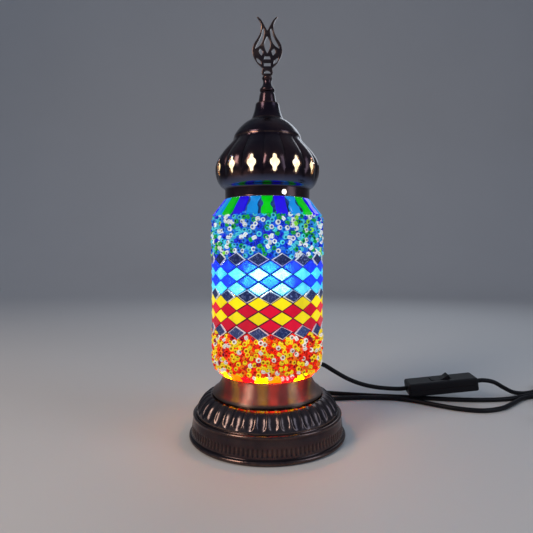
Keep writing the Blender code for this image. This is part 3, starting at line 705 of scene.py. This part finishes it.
def base_band(look):
    wall = [(66.4, 0.4), (69.4, 0.3)] + arc((69.5, 2.3), 1.9, -80, 80, 8) + [(69.2, 4.5), (68.9, 5.2)]
    steps = 18
    wall += [(68.9 - 1.4 * (k / steps) ** 1.6, 5.4 + 13.6 * k / steps) for k in range(steps + 1)]
    wall += arc((66.1, 21.0), 1.75, -38, 128, 8)
    wall += [(64.7, 23.1), (63.2, 23.2), (63.0, 21.2), (65.4, 19.0), (66.9, 5.0)]

    def reed(angle, radius, height):
        low, high, fade = 5.9, 14.6, 2.4
        if radius < 66.95 or not low < height < high:
            return radius, height
        along = min((height - low) / fade, (high - height) / fade, 1.0)
        groove = (0.5 + 0.5 * cos(REEDS * angle)) ** 1.5
        return radius - 0.75 * along * groove, height

    fine("base_reeded_band", lathe(wall, REEDS * 5, reed), [look], "lamp_base", smooth=50.0)


def base_shoulder(look):
    outer = flowing([(64.5, 23.5), (63.9, 26.0), (62.5, 29.0), (60.3, 32.6), (57.3, 35.7), (53.8, 37.9),
                     (51.2, 38.6), (49.9, 38.0), (49.3, 37.0)])
    section = outer + [(5.2, 37.0), (5.2, 35.2), (50.4, 35.2), (54.4, 34.4), (58.4, 30.4), (61.2, 25.4),
                       (61.8, 23.5)]
    low, high = 24.6, 38.5

    def scallop(angle, radius, height):
        if radius < 50.2 or not low < height < high:
            return radius, height
        v = (height - low) / (high - low)
        u = ((angle * PETALS / pi) % 2) - 1
        width = 0.86 * sqrt(max(0.0, 1 - (1 - min(v / 0.42, 1.0)) ** 2))
        if width < 0.05:
            return radius, height
        dip = 1.35 * max(0.0, 1 - (abs(u) / width) ** 2.2) * min(v / 0.25, 1.0)
        ridge = 0.35 * max(0.0, 1 - ((abs(u) - width) / 0.2) ** 2) * min(v / 0.2, 1.0)
        along = sin(pi * min(max((height - 22) / 22, 0), 1))
        return radius + ridge - dip, height - 0.45 * dip * (1 - along)

    fine("base_petal_shoulder", lathe(section, PETALS * 16, scallop), [look], "lamp_base", smooth=50.0)


def cup(look):
    """The flared foot that holds the jar."""
    outer = [(45.6, 37.3), (47.5, 37.3), (47.5, 39.0)] + arc((48.9, 40.1), 1.1, -90, 25, 6)
    outer += flowing([(50.0, 40.9), (49.6, 41.6), (48.6, 42.4), (47.0, 43.5), (45.0, 45.4), (42.9, 48.6),
                      (41.2, 52.0), (40.0, 55.6)])
    outer += arc((39.4, 55.7), 0.55, 0, 180, 6)
    section = outer + [(40.0, 52.0), (41.8, 48.2), (43.6, 45.2), (43.6, 42.0), (5.2, 42.0), (5.2, 40.4),
                       (45.6, 40.4)]
    fine("glass_cup", lathe(section, 128), [look], "lamp_base")


def collar(look):
    """The band over the jar's neck, flared at its top into the dome."""
    wall = [(36.8, 214.0), (37.6, 214.0)] + arc((37.7, 214.5), 0.5, -90, 40, 4)
    wall += [(38.1, 215.2), (38.2, 221.8)]
    wall += flowing([(38.3, 222.4), (38.7, 223.1), (39.5, 223.8), (40.4, 224.4)])
    wall += [(39.0, 224.4), (37.4, 223.2), (36.8, 222.4)]
    made = fine("cap_collar", lathe(wall, 160), [look], "cap")
    cut = bmesh.new()
    for k in range(COLLAR_HOLES):
        angle = radians(COLLAR_HOLE_AZIMUTH + 360 * k / COLLAR_HOLES)
        way = Vector((cos(angle), sin(angle), 0))
        turn = Vector((0, 0, 1)).rotation_difference(way).to_matrix().to_4x4()
        place = Matrix.Translation((37.4 * way + Vector((0, 0, COLLAR_HOLE_HEIGHT))) * MM) @ turn
        bmesh.ops.create_cone(cut, cap_ends=True, segments=24, radius1=2.2 * MM, radius2=2.2 * MM,
                              depth=8 * MM, matrix=place)
    bore(made, cut, "collar_holes")
    inside = [(36.1, 215.6), (36.3, 215.6), (36.3, 219.4), (36.1, 219.4)]
    made = piece("collar_lit_lining", lathe(inside, 96), [hot_lining()], "cap")


def hot_lining():
    look = Look("neck_lit_by_bulb", (0.9, 0.9, 0.85), 0.5)
    spots = look.noise(60.0)
    look.put("Emission Color", look.mix(spots, (1.0, 0.98, 0.9), (1.0, 1.0, 1.0)))
    look.put("Emission Strength", 2.6)
    return look.material


def evaluated_mesh(source):
    graph = bpy.context.evaluated_depsgraph_get()
    graph.update()
    return bpy.data.meshes.new_from_object(source.evaluated_get(graph), depsgraph=graph)


def bore(target, cut, name):
    """Cuts holes and applies the cut, so no helper is left."""
    tool = placed(name, finished(name, cut))
    change = target.modifiers.new("Holes", "BOOLEAN")
    change.object = tool
    change.solver = "EXACT"
    made = evaluated_mesh(target)
    target.modifiers.remove(change)
    old = target.data
    target.data = made
    bpy.data.meshes.remove(old)
    bpy.data.objects.remove(tool, do_unlink=True)
    made.set_sharp_from_angle(angle=radians(40))


def dome(look):
    outer = flowing([(40.5, 224.5), (42.3, 226.1), (44.6, 229.8), (46.4, 235.6), (46.9, 242.0), (45.4, 248.0),
                     (42.6, 253.0), (38.7, 258.0), (34.2, 262.9), (31.2, 266.4), (30.4, 268.7)])
    inner = flowing([(29.2, 268.7), (32.5, 262.9), (39.3, 255.3), (43.9, 248.0), (45.4, 242.0), (44.8, 236.0),
                     (42.6, 229.8), (41.0, 227.4), (39.2, 224.5)], 3)

    def lobed(angle, radius, height):
        low, high = 229.0, 268.7
        share = min(max((height - low) / (high - low), 0.0), 1.0)
        depth = 2.2 * sin(pi * share) ** 0.7
        wave = abs(cos(LOBES * (angle + pi / 2 - DOME_TURN) / 2))
        return radius - depth * (1 - wave ** 0.7), height

    lit = range(len(outer) + 2, len(outer) + len(inner) - 5)
    bm = lathe(outer + inner, LOBES * 16, lobed, second=lit)
    made = fine("cap_pierced_dome", bm, [look["cap"], look["hot"]], "cap")
    right = flowing([(1.5, 6.3), (1.75, 5.2), (1.75, 4.2), (2.4, 3.3), (3.6, 2.2), (4.1, 0.6), (3.9, -0.8),
                     (2.9, -2.4), (2.1, -3.4), (1.75, -4.4), (1.7, -5.4), (1.4, -6.4)], 3)
    outline = arc((0, 5.6), 1.65, 90, 25, 4) + right + arc((0, -5.6), 1.65, -25, -90, 4)
    outline += mirrored(outline[1:-1])
    cut = bmesh.new()
    for k in range(LOBES):
        out, side, up = around(DOME_TURN + 2 * pi * k / LOBES)
        near, far = ([cut.verts.new((out * reach + side * x + up * (WINDOW_HEIGHT + z)) * MM)
                      for x, z in outline] for reach in (40.0, 52.0))
        cut.faces.new(near)
        cut.faces.new(list(reversed(far)))
        skin(cut, near, far)
    bmesh.ops.recalc_face_normals(cut, faces=cut.faces)
    bore(made, cut, "dome_windows")


def cap_top(look):
    upper = flowing([(30.2, 269.0), (29.8, 271.0), (28.4, 273.4), (25.9, 276.8), (22.1, 280.7), (18.6, 283.4),
                     (16.2, 284.8), (14.9, 285.6)])
    section = upper + [(13.2, 285.6), (13.6, 284.0), (20.8, 279.0), (25.2, 274.6), (27.3, 269.0),
                       (27.9, 266.2), (28.7, 266.2), (28.8, 268.9)]
    fine("cap_upper_dome", lathe(section, 128), [look], "cap")
    cone = [(0, 285.7), (14.8, 285.7)]
    cone += flowing([(14.6, 286.0), (13.3, 288.8), (12.0, 292.6), (11.0, 296.6), (10.6, 299.4)])
    cone += [(10.2, 300.1), (0, 300.1)]
    fine("cap_spire_cone", lathe(cone, 96), [look], "cap")
    spindle = [(0, 300.6)]
    spindle += flowing([(8.0, 300.2), (8.0, 301.4), (7.5, 304.6), (6.9, 308.0), (6.4, 309.6)], 3)
    spindle += flowing([(5.8, 310.4), (6.5, 311.2), (6.8, 312.4), (6.4, 313.6)])
    spindle += flowing([(5.6, 314.4), (4.4, 316.4), (3.8, 318.6), (3.8, 320.4), (4.4, 321.9), (4.7, 323.0),
                        (4.2, 324.3)])
    spindle += [(2.6, 325.0), (0, 325.0)]
    fine("cap_spindle", lathe(spindle, 72), [look], "cap")


def almond(x, z, half_width, half_height, lean=0.0):
    """A pointed oval hole's outline, leaning from upright."""
    steps = 10
    right = [(half_width * sin(pi * k / steps), -half_height + 2 * half_height * k / steps)
             for k in range(steps + 1)]
    c, s = cos(lean), sin(lean)
    return [(x + c * px + s * pz, z - s * px + c * pz) for px, pz in right + mirrored(right[1:-1])]


def finial(look):
    """The flat cast tulip, with its edges rounded over."""
    half = flowing([(2.2, 325.3), (4.5, 326.2), (5.0, 328.0), (4.6, 330.2), (4.0, 331.6)], 3)
    half += flowing([(5.4, 333.0), (8.6, 336.0), (11.2, 339.8), (12.8, 343.4), (13.3, 347.0), (12.9, 350.6),
                     (11.4, 354.2), (9.0, 357.8), (7.0, 361.4), (5.9, 364.8), (5.5, 368.0), (5.9, 371.0),
                     (7.1, 373.8), (9.2, 376.85)], 3)
    half += flowing([(8.0, 376.75), (5.4, 374.2), (2.9, 370.0), (1.1, 366.6), (0.3, 365.1)], 3)
    outline = half + mirrored(half)
    slot = flowing([(3.4, 367.3), (2.6, 364.4), (3.2, 359.6), (4.6, 354.6), (7.2, 351.2), (10.8, 348.8)], 3)
    slot += flowing([(10.7, 349.8), (9.8, 352.2), (7.5, 356.5), (5.4, 361.0), (4.6, 365.0)], 3)
    holes = [almond(0, 352.6, 2.8, 7.9), slot, mirrored(slot),
             [(-3.0, 339.5), (3.0, 339.5), (2.2, 342.7), (-2.2, 342.7)],
             [(-3.0, 333.4), (3.0, 333.4), (3.1, 336.7), (-3.1, 336.7)],
             arc((0, 327.0), 3.0, 0, 180, 8)]
    for side in (-1, 1):
        holes.append(almond(side * 5.7, 346.2, 1.8, 3.5, lean=side * 0.15))
        holes.append(almond(side * 7.7, 338.2, 1.4, 3.9, lean=side * 0.62))
    curve = bpy.data.curves.new("finial_outline", "CURVE")
    curve.dimensions = "2D"
    curve.fill_mode = "BOTH"
    curve.extrude = 0.85 * MM
    curve.bevel_depth = 0.42 * MM
    curve.offset = -0.36 * MM
    curve.bevel_resolution = 2
    for loop in (outline, *holes):
        spline = curve.splines.new("POLY")
        spline.points.add(len(loop) - 1)
        for knot, (x, z) in zip(spline.points, loop):
            knot.co = (x * MM, z * MM, 0, 1)
        spline.use_cyclic_u = True
    flat = placed("finial_outline", curve)
    flat.rotation_euler = (radians(90), 0, 0)
    bpy.context.view_layer.update()
    mesh = evaluated_mesh(flat)
    mesh.transform(flat.matrix_world)
    bpy.data.objects.remove(flat, do_unlink=True)
    bm = bmesh.new()
    bm.from_mesh(mesh)
    bmesh.ops.remove_doubles(bm, verts=bm.verts, dist=1e-6)
    bmesh.ops.scale(bm, vec=(1 / MM,) * 3, verts=bm.verts)
    bpy.data.meshes.remove(mesh)
    fine("finial_tulip", bm, [look], "finial", smooth=50.0)


# ---- lead

def smooth_route(points, spacing):
    """Evenly spaced points on a smooth curve through the route's own points."""
    ends = [2 * points[0] - points[1], *points, 2 * points[-1] - points[-2]]
    dense = []
    for a, b, c, d in zip(ends, ends[1:], ends[2:], ends[3:]):
        dense += [curve_point(a, b, c, d, step / 24) for step in range(24)]
    dense.append(points[-1])
    run = [0.0]
    for a, b in zip(dense, dense[1:]):
        run.append(run[-1] + (b - a).length)
    count = max(2, round(run[-1] / spacing))
    even, at = [], 0
    for k in range(count + 1):
        goal = run[-1] * k / count
        while at < len(run) - 2 and run[at + 1] < goal:
            at += 1
        share = (goal - run[at]) / max(run[at + 1] - run[at], 1e-9)
        even.append(dense[at].lerp(dense[at + 1], min(max(share, 0.0), 1.0)))
    return even


def cord_piece(name, points, look):
    curve = bpy.data.curves.new(name, "CURVE")
    curve.dimensions = "3D"
    curve.bevel_depth = CORD / 2 * MM
    curve.bevel_resolution = 5
    curve.use_fill_caps = True
    spline = curve.splines.new("POLY")
    spline.points.add(len(points) - 1)
    for knot, place in zip(spline.points, points):
        knot.co = (*(place * MM), 1.0)
    curve.materials.append(look)
    made = placed(name, curve)
    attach(made, "lamp_base")
    return made


AZIMUTH, TILT = radians(55), radians(25)  # of the lead where it leaves the shoulder
EXIT_WAY = Vector((cos(AZIMUTH) * cos(TILT), sin(AZIMUTH) * cos(TILT), sin(TILT)))
EXIT = Vector((59.5 * cos(AZIMUTH), 59.5 * sin(AZIMUTH), 32.5))
RELIEF_LENGTH = 22.0
GAP = 0.3  # between the lead's ends and what they go into
SWITCH_LEFT = Vector((158.0, 97.5, 12.5))
SWITCH_RIGHT = Vector((232.3, 93.0, 21.6))
SWITCH_HEADING = (SWITCH_RIGHT - SWITCH_LEFT).normalized()
COIL = Vector((333.0, 60.0, 0.0))
COIL_RADIUS = 28.8
COIL_BOTTOM = 1.2
PLUG_REAR = Vector((324.0, 10.5, 7.2))


def lead_route():
    start = EXIT + (RELIEF_LENGTH + GAP) * EXIT_WAY
    end = SWITCH_LEFT - GAP * SWITCH_HEADING
    return [start, start + 5.0 * EXIT_WAY, (53.6, 75.2, 45.5), (60.4, 81.2, 43.5), (67.2, 85.6, 39.2),
            (74.5, 88.9, 34.0), (89.8, 93.0, 24.6), (105.4, 95.2, 18.0), (120.5, 96.4, 14.2),
            (136.0, 97.4, 12.2), end - 8.0 * SWITCH_HEADING, end]


def run_route():
    """From the switch out to the far loop, back along the table to the near loop, and forth to the coil."""
    start = SWITCH_RIGHT + 2 * GAP * SWITCH_HEADING
    floor = CORD / 2 + 0.2
    down = [start, start + 9.0 * SWITCH_HEADING, (254.0, 93.6, 20.4), (269.0, 98.4, 12.0),
            (283.0, 105.0, 5.2)]
    flat = [(297.0, 110.0), (308.5, 114.2), (317.5, 120.6), (323.8, 129.4)]
    flat += arc((346.0, 128.5), 20.3, 150, -90, 8)
    flat += [(324.0, 107.6), (305.0, 105.0), (271.0, 90.5), (240.0, 86.0), (209.0, 87.5), (178.0, 92.6),
             (150.0, 97.6), (120.0, 102.0), (90.0, 107.5), (62.0, 114.5)]
    flat += arc((32.0, 101.5), 21.0, 75, 285, 7)
    flat += [(62.0, 88.5), (90.0, 93.0), (120.0, 94.0), (145.0, 91.0), (163.0, 82.6), (181.0, 69.6),
             (200.0, 57.5), (223.0, 51.5), (246.0, 58.5), (264.0, 72.5), (284.0, 90.0), (300.0, 98.2),
             (313.0, 99.6)]
    return down + [(x, y, floor) for x, y in flat]


def eased(share):
    share = min(max(share, 0.0), 1.0)
    return share * share * (3 - 2 * share)


def coil_route():
    """A wide and a narrow turn on the surface, then a narrow and a part wide turn on top, wound clockwise."""
    low, high = COIL_BOTTOM + CORD / 2, COIL_BOTTOM + CORD * 1.5
    wide, narrow = COIL_RADIUS + CORD / 2, COIL_RADIUS - CORD / 2
    first, wound = 100, 1218  # degrees: where the lead joins the coil, and how far it runs round
    points = []
    for done in range(0, wound + 1, 6):
        radius = wide + 6.0 * (1 - eased(done / 50))
        radius += (narrow - wide) * (eased((done - 300) / 60) - eased((done - 890) / 60))
        radius += 5.1 * eased((done - wound + 58) / 58)
        height = low + (high - low) * eased((done - 590) / 70)
        angle = radians(first - done)
        points.append(COIL + Vector((radius * cos(angle), radius * sin(angle), height)))
    return points


def tail_route():
    return [(353.2, 27.0, 8.2), (346.4, 18.6, 7.8), (339.2, 13.0, 7.4), (330.6, 10.6, 7.2),
            PLUG_REAR + Vector((3.0, 0, 0)), PLUG_REAR + Vector((GAP, 0, 0))]


def leads(look):
    lead = smooth_route([Vector(p) for p in lead_route()], 2.0)
    made = cord_piece("lead_to_switch", lead, look)
    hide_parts("cord_lead")
    route = [Vector(p) for p in run_route() + coil_route() + tail_route()]
    run = smooth_route(route, 2.5)
    made = cord_piece("lead_to_plug", run, look)
    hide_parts("cord_run", "cord_coil", "cord_tail")


# ---- scene

def dress(nodes, look):
    for name in nodes:
        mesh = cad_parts[name]
        mesh.data.materials.clear()
        mesh.data.materials.append(look)


def camera():
    data = bpy.data.cameras.new("camera")
    data.sensor_width = 36.0
    data.lens = LENS
    made = placed("camera", data)
    made.location = CAMERA_PLACE
    made.rotation_euler = (radians(90 - CAMERA_DIP), 0, 0)
    bpy.context.scene.camera = made


def area(name, place, aim, size, power, colour):
    data = bpy.data.lights.new(name, "AREA")
    data.shape = "RECTANGLE"
    data.size, data.size_y = size
    data.energy = power
    data.color = colour
    made = placed(name, data)
    made.location = place
    made.rotation_euler = (Vector(aim) - Vector(place)).to_track_quat("-Z", "Y").to_euler()


def studio():
    bm = bmesh.new()
    profile = [(-12.0, 0.0)] + arc((1.2, 0.9), 0.9, -90, 0, 15) + [(2.1, 4.0)]
    left, right = ([bm.verts.new((x, y, z)) for y, z in profile] for x in (-12.0, 12.0))
    for k in range(len(profile) - 1):
        bm.faces.new([left[k], right[k], right[k + 1], left[k + 1]])
    mesh = finished("studio_floor", bm)
    mesh.shade_smooth()
    pale = Look("pale_floor", (0.62, 0.61, 0.60), 0.7)
    pale.put("Base Color", pale.mix(pale.noise(3.0, 2.0), (0.60, 0.595, 0.59), (0.64, 0.635, 0.63)))
    mesh.materials.append(pale.material)
    floor = placed("studio_floor", mesh)
    world = bpy.data.worlds.new("studio")
    world.use_nodes = True
    background = world.node_tree.nodes["Background"]
    background.inputs["Color"].default_value = (0.66, 0.77, 1.0, 1.0)
    background.inputs["Strength"].default_value = 0.26
    bpy.context.scene.world = world
    area("key", (-0.75, -0.65, 0.75), (0, 0, 0.18), (0.35, 0.6), 7.0, (1.0, 0.82, 0.66))
    area("fill", (0.9, -0.4, 0.5), (0, 0, 0.15), (0.4, 0.8), 2.2, (0.75, 0.87, 1.0))
    area("rim", (0.3, 0.9, 0.7), (0, 0, 0.2), (0.8, 0.4), 1.5, (0.8, 0.9, 1.0))
    bpy.context.scene.view_settings.view_transform = "Standard"


def looks():
    made = {
        "bronze": bronze("antique_bronze", (0.045, 0.034, 0.040), (0.090, 0.062, 0.060), 0.20),
        "cap": bronze("antique_bronze_cap", (0.030, 0.021, 0.031), (0.082, 0.047, 0.048), 0.18, lip=DOME_LIP),
        "shoulder": bronze("antique_bronze_shoulder", (0.060, 0.048, 0.055), (0.115, 0.085, 0.080), 0.20),
        "polished": bronze("polished_cup_bronze", (0.20, 0.135, 0.115), (0.25, 0.17, 0.14), 0.45, spun=1.0),
        "hot": hot_inside(),
        "mirror": mirror_glass(),
        "mirror_edge": mirror_edge(),
        "grout_cool": grout("grout_between_blue", (0.01, 0.03, 0.10), (0.004, 0.035, 0.20)),
        "grout_warm": grout("grout_between_red", (0.03, 0.006, 0.02), (0.09, 0.004, 0.03)),
        "bed_cool": grout("grout_under_cool_beads", (0.01, 0.04, 0.20), (0.0, 0.065, 0.62)),
        "bed_warm": grout("grout_under_warm_beads", (0.20, 0.010, 0.01), (1.1, 0.016, 0.0)),
    }
    glass = {
        "blue": ((0.010, 0.004, 0.80), (0.012, 0.14, 0.80), 0.95, 0.5),
        "cyan": ((0.0, 0.46, 0.74), (0.36, 0.88, 1.0), 0.95, 0.5),
        "yellow": ((1.0, 0.80, 0.0), (1.0, 0.92, 0.05)),
        "red": ((0.72, 0.0, 0.03), (0.85, 0.01, 0.05), 0.95),
        "green": ((0.0, 0.56, 0.005), (0.0, 0.7, 0.005), 1.2),
        "royal": ((0.016, 0.003, 0.82), (0.02, 0.01, 0.9), 1.3),
        "sky": ((0.004, 0.26, 0.75), (0.02, 0.4, 0.9), 1.25),
        "amber": ((1.0, 0.55, 0.0), (1.0, 0.6, 0.0), 21.0),
        "orange": ((1.0, 0.027, 0.0), (1.0, 0.03, 0.0), 21.0),
        "crimson": ((0.75, 0.0, 0.003), (0.9, 0.0, 0.003), 13.0),
        "white": ((0.80, 0.90, 0.95), (1.0, 1.0, 1.0)),
        "ice": ((0.05, 0.60, 0.80), (0.3, 1.0, 1.0)),
        "azure": ((0.012, 0.20, 0.82), (0.1, 0.5, 1.0)),
        "cobalt": ((0.004, 0.016, 0.70), (0.02, 0.1, 1.0)),
        "leaf": ((0.0, 0.36, 0.05), (0.05, 0.7, 0.1)),
        "lime": ((0.25, 0.80, 0.04), (0.5, 0.95, 0.1)),
        "lemon": ((1.0, 0.70, 0.005), (1.0, 0.9, 0.1), 1.1),
        "scarlet": ((0.95, 0.015, 0.0), (1.0, 0.05, 0.01), 1.1),
        "tangerine": ((1.0, 0.17, 0.003), (1.0, 0.35, 0.02), 1.1),
        "pearl": ((0.85, 0.80, 0.72), (1.0, 1.0, 1.0), 1.1),
        "ruby": ((0.38, 0.0, 0.03), (0.7, 0.0, 0.04)),
    }
    for name, values in glass.items():
        made[name] = lit_glass("glass_" + name, *values)
    return made


def main():
    look = looks()
    camera()
    rubber = black_plastic("lead_sheath", 0.42, 900.0, 0.0002)
    leads(rubber)
    diamonds(look)
    grout_lattice(look)
    strips(look)
    beads(look)
    grout_beds(look)
    base_band(look["bronze"])
    base_shoulder(look["shoulder"])
    cup(look["polished"])
    collar(look["cap"])
    dome(look)
    cap_top(look["cap"])
    finial(look["bronze"])
    moulded = black_plastic("moulded_black", 0.48, 1600.0, 0.0003)
    mouldings = ["switch_lower_shell", "switch_upper_shell", "switch_rocker", "plug_body"]
    dress(mouldings, moulded)
    for name in mouldings:
        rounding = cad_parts[name].modifiers.new("Rounded_edges", "BEVEL")
        rounding.width = 0.8 * MM
        rounding.segments = 3
        rounding.limit_method = "ANGLE"
        rounding.angle_limit = radians(50)
    dress(["strain_relief", "inner_lead"], rubber)
    steel = metal("zinc_plated_steel", (0.62, 0.62, 0.60), 0.28)
    dress(["base_bottom_plate", "threaded_tube", "deck_lock_nut", "cup_lock_nut", "switch_screw_1",
           "switch_screw_2"], steel)
    brass = metal("bright_brass", (0.80, 0.62, 0.30), 0.2)
    dress(["lampholder_contact", "lampholder_screw_shell", "bulb_cap", "switch_terminal_1",
           "switch_terminal_2", "plug_pin_1", "plug_pin_2"], brass)
    dress(["felt_pad"], matte("green_felt", (0.02, 0.045, 0.03), 0.95, 900.0, 0.0008))
    dress(["cord_tie"], matte("woven_tie", (0.03, 0.03, 0.034), 0.85, 1800.0, 0.0005))
    dress(["lampholder_base", "lampholder_body"], black_plastic("holder_black", 0.4, 700.0, 0.0002))
    dress(["lampholder_insulator"], matte("glazed_ceramic", (0.75, 0.73, 0.68), 0.3, 200.0, 0.0002))
    dress(["glass_jar"], clear_glass())
    dress(["bulb_glass"], bulb_light())
    studio()


main()
